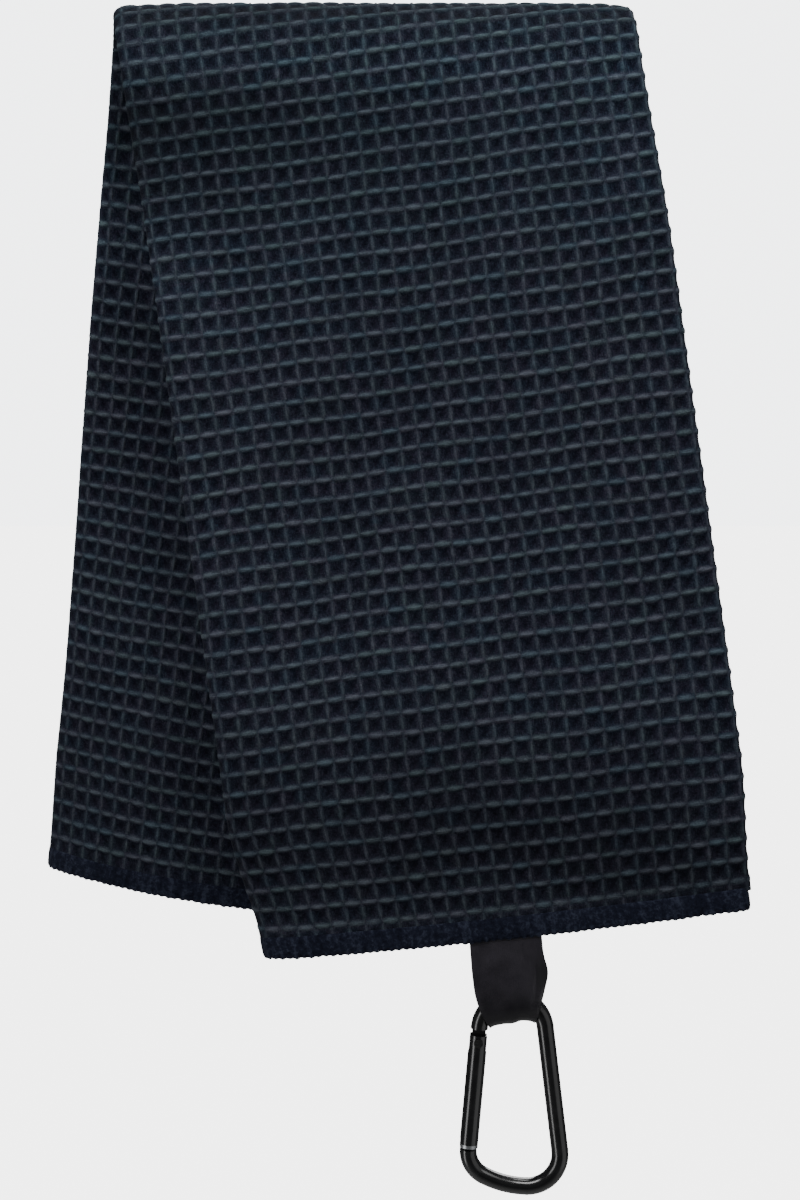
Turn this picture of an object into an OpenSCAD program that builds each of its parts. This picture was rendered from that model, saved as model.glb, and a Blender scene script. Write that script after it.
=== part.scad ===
// Waffle golf towel with a ribbon loop and a small carabiner, hanging over a rail.
// The towel is folded in thirds along its length, then hung over its middle a little askew.
// Millimetres, +Z up. The rail runs along X and its axis passes through the origin.
// The front leaf hangs on the -Y side, and its lower end leans towards +X.

/* [Towel] */
// Width of the towel before it is folded
towel_w = 400; // [360:5:440]
// Length of the towel before it is hung
towel_l = 502; // [440:2:560]
// Thickness of one layer of waffle cloth
cloth_t = 2.0; // [1.6:0.1:2.2]
// Height of the bound hem on each short end
end_hem_h = 6; // [4:0.5:8]
// Width of the bound hem on each long side
side_hem_w = 4; // [3:0.5:5]

/* [Hang] */
// Radius of the rail that the towel hangs on
rail_r = 6; // [5:0.5:10]
// How far the folded strip is turned from square to the rail, in degrees
skew = 7.75; // [4:0.25:10]
// How far down from even the back leaf hangs
hang_offset = 3.5; // [0:0.5:10]
// How far the front leaf hangs outwards from plumb, in degrees
front_splay = 3.2; // [2:0.1:6]
// How far the back leaf hangs outwards from plumb, in degrees
back_splay = 4.6; // [2:0.1:6]
// How far the back leaf's outer edge bows away from the front leaf
bow = 18; // [0:1:20]
// How far the front leaf's lower end is stretched on its right side
sag = 3.8; // [0:0.2:5]
// How far a leaf can be lifted, in degrees
leaf_lift = 40; // [20:5:40]

/* [Ribbon] */
// Width of the ribbon
ribbon_w = 19; // [16:0.5:22]
// Thickness of the ribbon
ribbon_t = 0.6; // [0.5:0.1:0.8]
// Inside radius of the ribbon's loop, where the carabiner hangs
loop_r = 4; // [3.9:0.1:4.5]
// Length from the hem to the middle of the loop
ribbon_drop = 17.2; // [16:0.2:22]

/* [Carabiner] */
// Radius of the carabiner's rod
rod_r = 2.25; // [2.1:0.05:2.3]
// Radius of the gate
gate_r = 2.45; // [2.4:0.05:2.6]
// Bend radius of the top end, to the middle of the rod
top_bend_r = 8.7; // [8.6:0.1:9.5]
// Bend radius at the foot of the spine
heel_bend_r = 8.6; // [8:0.1:9]
// Bend radius of the long sweep under the eye
sweep_bend_r = 26; // [24:0.5:30]
// Bend radius below the nose
toe_bend_r = 7.4; // [7:0.1:8]
// Drop from the top bend's centre to the heel bend's centre
heel_drop = 33.3; // [31:0.1:36]
// Sideways step from the top bend's centre to the heel bend's centre
heel_step = 4.1; // [3.5:0.1:5]
// Lean of the gate from plumb, in degrees
gate_lean = 5; // [3:0.5:6]
// Length of the gate's side, from the top bend to the nose
gate_side_l = 32.6; // [31:0.1:34]

/* [Hidden] */
$fn = 48;

front = 1;
back = -1;
eps = 0.01;
cloth_colour = "#1c2530";
hem_colour = "#10141f";
ribbon_colour = "#1c1b1f";
carabiner_colour = "#111113";
steel_colour = "#9a9da1";

// Folding in thirds: the right flap turns in first, the left flap lies over it next to the rail.
fold_take_up = 5;
folded_w = (towel_w + fold_take_up) / 3;
half_w = folded_w / 2;
layer_gap = 0.1;
layer_pitch = cloth_t + layer_gap;
left_r = rail_r;
right_r = rail_r + layer_pitch;
middle_r = rail_r + 2 * layer_pitch;
outer_r = middle_r + cloth_t;
neutral_r = (rail_r + outer_r) / 2;
edge_gap = 2.5;
fold_bevel = 0.1;

// The left flap stays on the rail as a saddle. The leaves turn around it with this much room.
swing_gap = 0.3;
saddle_r = left_r + cloth_t;
saddle_tail = 5;
crown_half_angle = 90 - max(front_splay, back_splay) - leaf_lift - 2.5;
left_start = sqrt(pow(saddle_r + swing_gap, 2) - pow(left_r, 2)) + 0.1;
right_start = sqrt(pow(saddle_r + swing_gap, 2) - pow(right_r, 2) + 1) + 0.5;
fold_half_l = half_w / cos(skew);

// Drape of the leaves.
sag_ramp = 90;
bow_from = -8;
bow_ramp = 220;
pull_ramp = 38;
pull_left = 4.5;
pull_right = 1.8;
leaf_rings = 9;
first_ring_b = (left_start + neutral_r * PI / 2 + half_w * sin(skew)) / cos(skew) + 4;

// Ribbon loop.
ribbon_r = middle_r - layer_gap / 2;
ribbon_gap = 1;
loop_half_w = 4.6;

// Carabiner hinge and latch, measured down the gate's side from the top bend.
joint_trim = 0.1;
collar_l = 0.6;
collar_rise = 0.03;
rivet_s = 3.7;
ear_top_s = 1.9;
gate_end_s = gate_side_l - 0.5;
tongue_t = 1.8;
tongue_half_w = 1.75;
tongue_foot = 1.7;
slot_t = 2.0;
slot_foot = 2.7;
rivet_r = 0.75;
rivet_head_r = 1.2;
rivet_head_y = 2.25;
rivet_head_t = 0.45;
plunger_r = 0.9;
plunger_bore_r = 0.95;
plunger_gap = 0.1;
plunger_l = 4;
plunger_bore_l = 11;
spring_r = 0.66;
spring_wire_r = 0.16;
spring_turns = 7;
lip_t = 1.2;
lip_h = 1.6;
lip_half_w = 1.2;
lip_slot_t = 1.5;
lip_slot_h = 2.2;
lip_clear = 0.15;
arc_rise = 7.1;
clip_shift = 0.5;

function splay_of(side) = side == front ? front_splay : back_splay;
function leaf_length(side) = towel_l / 2 - side * hang_offset;
function arc_length(side) = neutral_r * (90 - splay_of(side)) * PI / 180;
function cloth_end(side) = leaf_length(side) - end_hem_h;
function smooth(t) = let (u = min(max(t, 0), 1)) u * u * (3 - 2 * u);
function mix(a, b, t) = a + (b - a) * t;

// Distance down the strip from the ridge, at which the leaf lies "fall" below the rail's tangent line.
function strip_at(side, p, fall) = (fall + arc_length(side) + side * p * sin(skew)) / cos(skew);

// The strip narrows towards its bound end.
function pulled(side, p, b) =
    let (k = smooth((b - leaf_length(side) + pull_ramp) / pull_ramp) * (side == front ? 1 : 0.3))
    p < 0 ? p * (1 - k * pull_left / half_w) : p * (1 - k * pull_right / half_w);

// The back leaf's outer edge bows outwards.
function bow_at(side, p, b) =
    side == front ? 0 : bow * pow(max(bow_from - p, 0) / (bow_from + half_w), 2) * smooth(b / bow_ramp);

// The bow takes up width, which draws the outer edge in.
function bow_draw(side, p, b) =
    let (reach = bow_from + half_w, e = max(bow_from - p, 0) / reach)
    side == front ? 0 : reach * pow(2 * bow * smooth(b / bow_ramp) / reach, 2) * pow(e, 3) / 6;

// The front leaf's lower end is stretched towards its right side.
function sagged(side, p, b) =
    let (u = (p + half_w) / folded_w, share = smooth((b - leaf_length(side) + sag_ramp) / sag_ramp))
    side == back ? b : b + sag * (1 - (1 - u) * (1 - u)) * share;

// A point of a hanging leaf: p across the strip, b down it, d out from the rail's axis.
function drape(side, p, b, d) =
    let (q = pulled(side, p, b), c = sagged(side, p, b), splay = splay_of(side))
    let (x = q * cos(skew) + side * c * sin(skew) + bow_draw(side, p, b))
    let (fall = c * cos(skew) - side * q * sin(skew) - arc_length(side))
    let (out = d * cos(splay) + fall * sin(splay) + bow_at(side, p, b))
    [x, -side * out, d * sin(splay) - fall * cos(splay)];

// Places across the strip that all the layers share, so that they nest where the back leaf bows.
stations = [-half_w + cloth_t, -half_w + layer_pitch, -half_w + layer_pitch + edge_gap,
    -half_w + layer_pitch + edge_gap + side_hem_w, -50, -42, -34, -26, -18, -8, 15, 40];

// A layer's cross-section: places across the strip, each with its inner and outer distance.
function layer(p0, p1, d0, d1) =
    [for (p = concat([p0], [for (g = stations) if (g > p0 + fold_bevel && g < p1 - fold_bevel) g], [p1]))
        [p, d0, d1]];

// A cross-section swept down a leaf, from a line along the rail to a line square to the strip.
module sweep(side, section, start_fall, end_b, start_b = undef) {
    last = len(section) - 1;
    count = 2 * len(section);
    outline = concat([for (q = section) [q[0], q[1]]],
        [for (j = [last : -1 : 0]) [section[j][0], section[j][2]]]);
    rings = [for (i = [0 : leaf_rings]) [for (q = outline)
        let (b0 = is_undef(start_b) ? strip_at(side, q[0], start_fall) : start_b)
        let (b1 = is_undef(start_b) ? first_ring_b : start_b + (end_b - start_b) / leaf_rings)
        drape(side, q[0], i == 0 ? b0 : mix(b1, end_b, (i - 1) / (leaf_rings - 1)), q[1])]];
    walls = [for (i = [0 : leaf_rings - 1], j = [0 : count - 1])
        let (k = (j + 1) % count, a = i * count + j, b = i * count + k, c = a + count, d = b + count)
        each j <= last ? [[a, b, d], [a, d, c]] : [[a, b, c], [b, d, c]]];
    foot = leaf_rings * count;
    caps = [for (j = [0 : last - 1]) let (k = count - 1 - j)
        each [[j, k, j + 1], [j + 1, k, k - 1],
              [foot + j, foot + j + 1, foot + k], [foot + j + 1, foot + k - 1, foot + k]]];
    faces = concat(walls, caps);
    turned = side == front ? faces : [for (f = faces) [f[2], f[1], f[0]]];
    polyhedron([for (r = rings) each r], turned);
}

module leaf_middle_panel(side) {
    color(cloth_colour)
    sweep(side, layer(-half_w + layer_pitch, half_w - layer_pitch, middle_r, outer_r),
        eps, cloth_end(side));
}

// The right flap carries the right-hand fold, the left flap the left-hand one.
module leaf_right_flap(side) {
    flat = layer(-half_w + layer_pitch + edge_gap + side_hem_w, half_w - cloth_t - fold_bevel,
        right_r, right_r + cloth_t);
    edge = [[half_w - cloth_t, right_r, outer_r], [half_w, right_r, outer_r]];
    color(cloth_colour)
    sweep(side, concat(flat, edge), right_start, cloth_end(side));
}

module leaf_left_flap(side) {
    edge = [[-half_w, left_r, outer_r], [-half_w + cloth_t, left_r, outer_r]];
    flat = layer(-half_w + cloth_t + fold_bevel, half_w - edge_gap - side_hem_w,
        left_r, left_r + cloth_t);
    color(cloth_colour)
    sweep(side, concat(edge, flat), left_start, cloth_end(side));
}

module leaf_right_flap_hem(side) {
    left = -half_w + layer_pitch + edge_gap;
    color(hem_colour)
    sweep(side, layer(left, left + side_hem_w, right_r, right_r + cloth_t),
        right_start, cloth_end(side));
}

module leaf_left_flap_hem(side) {
    right = half_w - edge_gap;
    color(hem_colour)
    sweep(side, layer(right - side_hem_w, right, left_r, left_r + cloth_t),
        left_start, cloth_end(side));
}

module leaf_end_hem(side) {
    color(hem_colour)
    sweep(side, layer(-half_w, half_w, left_r - 0.2, outer_r + 0.2),
        0, leaf_length(side), cloth_end(side));
}

// A length of tube along the rail, between two radii and two places.
module rail_tube(r0, r1, x0, x1) {
    translate([x0, 0, 0])
    rotate([90, 0, 90])
    linear_extrude(x1 - x0)
    difference() {
        circle(r1);
        circle(r0);
    }
}

// The wedge above the rail in which the outer layers stay still while the leaves are lifted.
module crown_wedge() {
    reach = 2 * outer_r;
    rotate([90, 0, 90])
    linear_extrude(4 * half_w, center = true)
    polygon([[0, 0], [reach * sin(crown_half_angle), reach * cos(crown_half_angle)],
             [-reach * sin(crown_half_angle), reach * cos(crown_half_angle)]]);
}

// The saddle: half a tube with two short tails beside the rail.
module saddle(r0, r1, x0, x1) {
    difference() {
        translate([x0, 0, 0])
        rotate([90, 0, 90])
        linear_extrude(x1 - x0)
        circle(r1);
        translate([x0 - 1, 0, 0])
        rotate([90, 0, 90])
        linear_extrude(x1 - x0 + 2)
        union() {
            circle(r0);
            translate([-r0, -2 * r1]) square([2 * r0, 2 * r1]);
        }
        translate([x0 - 1, -2 * r1, -2 * r1 - saddle_tail]) cube([x1 - x0 + 2, 4 * r1, 2 * r1]);
    }
}

module fold_left_flap() {
    color(cloth_colour)
    saddle(left_r, saddle_r, -fold_half_l, fold_half_l - edge_gap - side_hem_w);
}

module fold_left_flap_hem() {
    color(hem_colour)
    saddle(left_r + 0.15, saddle_r, fold_half_l - edge_gap - side_hem_w, fold_half_l - edge_gap);
}

module fold_right_flap() {
    color(cloth_colour)
    intersection() {
        rail_tube(right_r, right_r + cloth_t, -fold_half_l + edge_gap + side_hem_w, fold_half_l);
        crown_wedge();
    }
}

module fold_right_flap_hem() {
    color(hem_colour)
    intersection() {
        rail_tube(right_r, right_r + cloth_t, -fold_half_l + edge_gap, -fold_half_l + edge_gap + side_hem_w);
        crown_wedge();
    }
}

module fold_middle_panel() {
    color(cloth_colour)
    intersection() {
        rail_tube(middle_r, outer_r, -fold_half_l, fold_half_l);
        crown_wedge();
    }
}

// Where the ribbon leaves the hem, the middle of its loop, and the centre of the carabiner's top bend.
ribbon_root = drape(front, 0, leaf_length(front), ribbon_r);
loop_centre = ribbon_root + ribbon_drop * [sin(skew), 0, -cos(skew)];
carabiner_at = loop_centre + [clip_shift, 0, -arc_rise];

// Outline of a ribbon loop seen along the rail: a circle and the two tangents that meet above it.
module teardrop(r, rise, half_top) {
    lean = asin(r / rise);
    circle(r);
    polygon([[-half_top, rise], [-r * cos(lean), r * sin(lean)], [r * cos(lean), r * sin(lean)],
             [half_top, rise]]);
}

module ribbon_loop() {
    color(ribbon_colour)
    translate(loop_centre)
    rotate([0, -skew, 0])
    intersection() {
        rotate([90, 0, 90])
        linear_extrude(2 * ribbon_w, center = true)
        difference() {
            teardrop(loop_r + ribbon_t, ribbon_drop - ribbon_gap, ribbon_t);
            teardrop(loop_r, ribbon_drop - ribbon_gap - 1, eps);
        }
        rotate([90, 0, 0])
        linear_extrude(6 * loop_r, center = true)
        polygon([[-ribbon_w / 2, ribbon_drop], [ribbon_w / 2, ribbon_drop], [ribbon_w / 2, 0.5],
                 [loop_half_w, -1.8], [loop_half_w, -2 * loop_r], [-loop_half_w, -2 * loop_r],
                 [-loop_half_w, -1.8], [-ribbon_w / 2, 0.5]]);
    }
}

// The carabiner's outline is a chain of tangent bends, drawn in X and Z from the top bend's centre.
heel = [heel_step, -heel_drop];
spine_angle = atan2(heel[1], heel[0]) + acos((top_bend_r - heel_bend_r) / norm(heel));
spine_l = sqrt(pow(norm(heel), 2) - pow(top_bend_r - heel_bend_r, 2));
gate_top = top_bend_r * [-cos(gate_lean), sin(gate_lean)];
gate_down = [-sin(gate_lean), -cos(gate_lean)];
nose = gate_top + gate_side_l * gate_down;
toe = nose + toe_bend_r * [cos(gate_lean), -sin(gate_lean)];

// The sweep's centre lies at a known distance from the heel's centre and from the toe's.
heel_reach = sweep_bend_r - heel_bend_r;
toe_reach = sweep_bend_r - toe_bend_r;
span = norm(toe - heel);
along = (heel_reach * heel_reach - toe_reach * toe_reach + span * span) / (2 * span);
across = sqrt(heel_reach * heel_reach - along * along);
to_toe = (toe - heel) / span;
sweep_centre = heel + along * to_toe + across * [to_toe[1], -to_toe[0]];
sweep_start = atan2(heel[1] - sweep_centre[1], heel[0] - sweep_centre[0]);
sweep_end = atan2(toe[1] - sweep_centre[1], toe[0] - sweep_centre[0]);

// Part of a ring of rod, about a centre, between two angles, a little short at both ends.
module bend(centre, radius, from, to) {
    trim = joint_trim / radius * 180 / PI;
    translate([centre[0], 0, centre[1]])
    rotate([90, 0, 0])
    rotate([0, 0, from + trim])
    rotate_extrude(angle = to - from - 2 * trim)
    translate([radius, 0]) circle(rod_r);
}

// A thin weld collar where two lengths of rod meet, on a bend's centre line at an angle.
module collar(centre, radius, angle) {
    translate([centre[0] + radius * cos(angle), 0, centre[1] + radius * sin(angle)])
    rotate([0, -angle, 0])
    cylinder(h = collar_l, r = rod_r + collar_rise, center = true);
}

// A frame at the top of the gate's side, with -Z down the gate.
module on_gate(s) {
    at = gate_top + s * gate_down;
    translate([at[0], 0, at[1]]) rotate([0, gate_lean, 0]) children();
}

module carabiner_body() {
    color(carabiner_colour)
    translate(carabiner_at)
    difference() {
        union() {
            bend([0, 0], top_bend_r, spine_angle, 180 - gate_lean);
            bend(heel, heel_bend_r, sweep_start, spine_angle);
            bend(sweep_centre, sweep_bend_r, sweep_end, sweep_start);
            bend(toe, toe_bend_r, -180 - gate_lean, sweep_end);
            translate(top_bend_r * [cos(spine_angle), 0, sin(spine_angle)])
            rotate([0, 180 - spine_angle, 0])
            translate([0, 0, joint_trim]) cylinder(h = spine_l - 2 * joint_trim, r = rod_r);
            collar([0, 0], top_bend_r, 180 - gate_lean);
            collar([0, 0], top_bend_r, spine_angle);
            collar(heel, heel_bend_r, spine_angle);
            collar(heel, heel_bend_r, sweep_start);
            collar(toe, toe_bend_r, sweep_end);
            on_gate(rivet_s + tongue_foot)
            translate([-tongue_half_w, -tongue_t / 2, 0])
            cube([2 * tongue_half_w, tongue_t, rivet_s + tongue_foot]);
            on_gate(gate_side_l)
            translate([-lip_half_w, -lip_t / 2, -1]) cube([2 * lip_half_w, lip_t, lip_h + 1]);
        }
        on_gate(rivet_s) rotate([90, 0, 0]) cylinder(h = 4 * rod_r, r = rivet_r + 0.05, center = true);
    }
}

module gate() {
    color(carabiner_colour)
    translate(carabiner_at)
    difference() {
        on_gate(gate_end_s) cylinder(h = gate_end_s - ear_top_s, r = gate_r);
        on_gate(rivet_s + slot_foot)
        translate([-2 * gate_r, -slot_t / 2, 0]) cube([4 * gate_r, slot_t, 3 * gate_r]);
        on_gate(rivet_s + slot_foot + plunger_bore_l)
        cylinder(h = plunger_bore_l + eps, r = plunger_bore_r);
        on_gate(rivet_s) rotate([90, 0, 0]) cylinder(h = 4 * gate_r, r = rivet_r + 0.03, center = true);
        for (turn = [90, -90])
            on_gate(rivet_s) rotate([turn, 0, 0]) translate([0, 0, rivet_head_y - 0.05])
            cylinder(h = gate_r, r = rivet_head_r + 0.05);
        on_gate(gate_end_s)
        translate([-2 * gate_r, -lip_slot_t / 2, -1])
        cube([2 * gate_r + lip_half_w + lip_clear, lip_slot_t, lip_slot_h + 1]);
    }
}

module gate_rivet() {
    color(steel_colour)
    translate(carabiner_at)
    on_gate(rivet_s)
    rotate([90, 0, 0])
    union() {
        cylinder(h = 2 * rivet_head_y, r = rivet_r, center = true);
        translate([0, 0, rivet_head_y]) cylinder(h = rivet_head_t, r = rivet_head_r);
        translate([0, 0, -rivet_head_y - rivet_head_t]) cylinder(h = rivet_head_t, r = rivet_head_r);
    }
}

plunger_top_s = rivet_s + tongue_foot + plunger_gap;
spring_top_s = plunger_top_s + plunger_l + 0.05;
spring_foot_s = rivet_s + slot_foot + plunger_bore_l - 0.05;

module gate_plunger() {
    color(steel_colour)
    translate(carabiner_at)
    on_gate(plunger_top_s + plunger_l)
    cylinder(h = plunger_l, r = plunger_r);
}

// A coil of wire with a ring of six points every thirty degrees.
module gate_spring() {
    steps = spring_turns * 12;
    height = spring_foot_s - spring_top_s - 2 * spring_wire_r;
    points = [for (i = [0 : steps], j = [0 : 5])
        let (r = spring_r + spring_wire_r * cos(60 * j), a = 30 * i)
        [r * cos(a), r * sin(a), spring_wire_r + height * i / steps + spring_wire_r * sin(60 * j)]];
    sides = [for (i = [0 : steps - 1], j = [0 : 5]) let (k = (j + 1) % 6)
        each [[i * 6 + j, (i + 1) * 6 + k, i * 6 + k], [i * 6 + j, (i + 1) * 6 + j, (i + 1) * 6 + k]]];
    caps = [[for (j = [0 : 5]) j], [for (j = [5 : -1 : 0]) steps * 6 + j]];
    color(steel_colour)
    translate(carabiner_at)
    on_gate(spring_foot_s)
    polyhedron(points, concat(sides, caps));
}

fold_left_flap();
fold_left_flap_hem();
fold_right_flap();
fold_right_flap_hem();
fold_middle_panel();
leaf_middle_panel(front);  // front_middle_panel
leaf_right_flap(front);  // front_right_flap
leaf_right_flap_hem(front);  // front_right_flap_hem
leaf_left_flap(front);  // front_left_flap
leaf_left_flap_hem(front);  // front_left_flap_hem
leaf_end_hem(front);  // front_end_hem
leaf_middle_panel(back);  // back_middle_panel
leaf_right_flap(back);  // back_right_flap
leaf_right_flap_hem(back);  // back_right_flap_hem
leaf_left_flap(back);  // back_left_flap
leaf_left_flap_hem(back);  // back_left_flap_hem
leaf_end_hem(back);  // back_end_hem
ribbon_loop();
carabiner_body();
gate();
gate_rivet();
gate_plunger();
gate_spring();
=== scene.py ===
# Looks for the waffle golf towel: cloth, hems, ribbon, carabiner, floor, light and camera.
# Objects are in metres, in the CAD frame. The drape and the pieces on it are worked out in millimetres.
import math
import bpy
import numpy as np
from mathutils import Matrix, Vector


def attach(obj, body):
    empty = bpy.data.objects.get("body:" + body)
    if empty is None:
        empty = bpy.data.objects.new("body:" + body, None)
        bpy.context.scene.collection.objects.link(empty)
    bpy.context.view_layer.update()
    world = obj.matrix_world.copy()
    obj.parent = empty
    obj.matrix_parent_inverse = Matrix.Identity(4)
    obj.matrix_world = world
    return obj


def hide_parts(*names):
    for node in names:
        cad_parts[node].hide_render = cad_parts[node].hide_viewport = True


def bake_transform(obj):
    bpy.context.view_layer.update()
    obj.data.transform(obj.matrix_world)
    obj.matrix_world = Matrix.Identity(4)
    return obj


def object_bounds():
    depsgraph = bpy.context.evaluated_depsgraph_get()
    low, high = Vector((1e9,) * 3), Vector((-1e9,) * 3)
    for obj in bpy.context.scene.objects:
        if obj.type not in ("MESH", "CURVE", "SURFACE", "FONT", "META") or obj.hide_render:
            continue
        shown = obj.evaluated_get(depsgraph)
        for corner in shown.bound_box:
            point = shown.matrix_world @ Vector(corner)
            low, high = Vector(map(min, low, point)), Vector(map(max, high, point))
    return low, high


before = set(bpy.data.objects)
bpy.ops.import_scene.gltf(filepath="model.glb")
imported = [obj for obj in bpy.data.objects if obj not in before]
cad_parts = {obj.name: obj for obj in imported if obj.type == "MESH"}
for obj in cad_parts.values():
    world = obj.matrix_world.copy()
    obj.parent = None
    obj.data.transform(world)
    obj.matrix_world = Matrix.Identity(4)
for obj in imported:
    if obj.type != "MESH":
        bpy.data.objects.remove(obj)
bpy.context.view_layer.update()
MM = 0.001

# ---------------------------------------------------------------- drape, as in part.scad, in mm
TOWEL_W, TOWEL_L = 400.0, 502.0
CLOTH_T, LAYER_GAP = 2.0, 0.1
END_HEM_H = 6.0
RAIL_R = 6.0
SKEW = math.radians(7.75)
FRONT, BACK = 1, -1
SIDE_NAME = {FRONT: "front", BACK: "back"}
SPLAY = {FRONT: math.radians(3.2), BACK: math.radians(4.6)}
BOW, BOW_FROM, BOW_RAMP = 18.0, -8.0, 220.0
SAG, SAG_RAMP = 3.8, 90.0
HALF_W = (TOWEL_W + 5) / 6
OUTER_R = RAIL_R + 3 * CLOTH_T + 2 * LAYER_GAP
NEUTRAL_R = (RAIL_R + OUTER_R) / 2
PULL_RAMP, PULL_LEFT, PULL_RIGHT = 38.0, 4.5, 1.8
ROLL_W, ROLL_DEPTH, ROLL_RAMP = 13.0, 4.2, 40.0
RIDGE_ZONE = 30.0
# The towel hangs this much lower at the back than it would if its middle were on the rail.
OFF_CENTRE = 3.5
LENGTH = {FRONT: TOWEL_L / 2 - OFF_CENTRE, BACK: TOWEL_L / 2 + OFF_CENTRE}
ARC = {s: NEUTRAL_R * (math.pi / 2 - SPLAY[s]) for s in SPLAY}


def smooth(t):
    """A soft step from 0 to 1 as t goes from 0 to 1."""
    u = np.clip(t, 0.0, 1.0)
    return u * u * (3 - 2 * u)


def drape(side, p, b, d):
    """A point of the hanging towel: p across the strip, b down it, d out from the rail's axis."""
    length = LENGTH[side]
    b = np.asarray(b, float)
    if side == FRONT:
        u = (p + HALF_W) / (2 * HALF_W)
        b = b + SAG * (1 - (1 - u) ** 2) * smooth((b - length + SAG_RAMP) / SAG_RAMP)
    k = smooth((b - length + PULL_RAMP) / PULL_RAMP) * (1.0 if side == FRONT else 0.3)
    q = np.where(p < 0, p * (1 - k * PULL_LEFT / HALF_W), p * (1 - k * PULL_RIGHT / HALF_W))
    reach = BOW_FROM + HALF_W
    e = np.maximum(BOW_FROM - p, 0) / reach
    spread = smooth(b / BOW_RAMP) if side == BACK else 0.0
    # The bow takes up width, which draws the outer edge in.
    drawn_in = reach * (2 * BOW * spread / reach) ** 2 * e ** 3 / 6
    x = q * math.cos(SKEW) + side * b * math.sin(SKEW) + drawn_in
    s = b * math.cos(SKEW) - side * q * math.sin(SKEW)
    arc, splay = ARC[side], SPLAY[side]
    turn = np.minimum(s / arc, 1.0) * (math.pi / 2 - splay)
    fall = np.maximum(s - arc, 0.0)
    y = -side * (d * np.sin(turn) + fall * math.sin(splay) + BOW * spread * e ** 2)
    z = d * np.cos(turn) - fall * math.cos(splay)
    return np.stack([x, y, z], axis=-1) * MM


def ridge(side, p):
    """Where the strip crosses the top of the rail."""
    return side * p * math.tan(SKEW)


def below_ridge(down, start):
    """Distance down the strip of lines that start along the ridge and lie level from RIDGE_ZONE on."""
    return down + start * (1 - np.clip(down / RIDGE_ZONE, 0, 1))


def rolled_edge(p):
    """How far the front leaf's left fold rolls inwards at its foot."""
    return ROLL_DEPTH * np.clip((-HALF_W + ROLL_W - p) / ROLL_W, 0, 1) ** 2


def rolled_in(b):
    """How much of that roll there is at a distance down the front leaf."""
    return smooth((b - (LENGTH[FRONT] - ROLL_RAMP)) / ROLL_RAMP)


# ---------------------------------------------------------------- small helpers
def add_object(name, data):
    obj = bpy.data.objects.new(name, data)
    bpy.context.scene.collection.objects.link(obj)
    return obj


def aim(obj, place, direction):
    """Puts a light or a camera at a place, looking along a direction."""
    obj.location = place
    obj.rotation_mode = "QUATERNION"
    obj.rotation_quaternion = direction.to_track_quat("-Z", "Y")


def grid_mesh(name, points, flip=False, closed_u=False):
    """A smooth mesh from a grid of points, rows by columns, made quickly."""
    rows, cols = points.shape[:2]
    index = np.arange(rows * cols).reshape(rows, cols)
    if closed_u:
        index = np.concatenate([index, index[:, :1]], axis=1)
    a, b = index[:-1, :-1], index[:-1, 1:]
    c, d = index[1:, 1:], index[1:, :-1]
    quads = np.stack([a, d, c, b] if flip else [a, b, c, d], axis=-1).reshape(-1, 4)
    mesh = bpy.data.meshes.new(name)
    mesh.vertices.add(rows * cols)
    mesh.vertices.foreach_set("co", points.reshape(-1).astype(np.float32))
    mesh.loops.add(quads.size)
    mesh.loops.foreach_set("vertex_index", quads.reshape(-1).astype(np.int32))
    mesh.polygons.add(len(quads))
    mesh.polygons.foreach_set("loop_start", np.arange(0, quads.size, 4, dtype=np.int32))
    mesh.polygons.foreach_set("use_smooth", np.ones(len(quads), bool))
    mesh.update()
    mesh.validate()
    return add_object(name, mesh)


def point_attribute(obj, name, values):
    """A number at each vertex, which the materials read."""
    attribute = obj.data.attributes.new(name, "FLOAT", "POINT")
    attribute.data.foreach_set("value", np.asarray(values, np.float32).reshape(-1))


def point_vector(obj, name, values):
    attribute = obj.data.attributes.new(name, "FLOAT_VECTOR", "POINT")
    attribute.data.foreach_set("vector", np.asarray(values, np.float32).reshape(-1))


def set_material(obj, material):
    obj.data.materials.clear()
    obj.data.materials.append(material)


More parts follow.
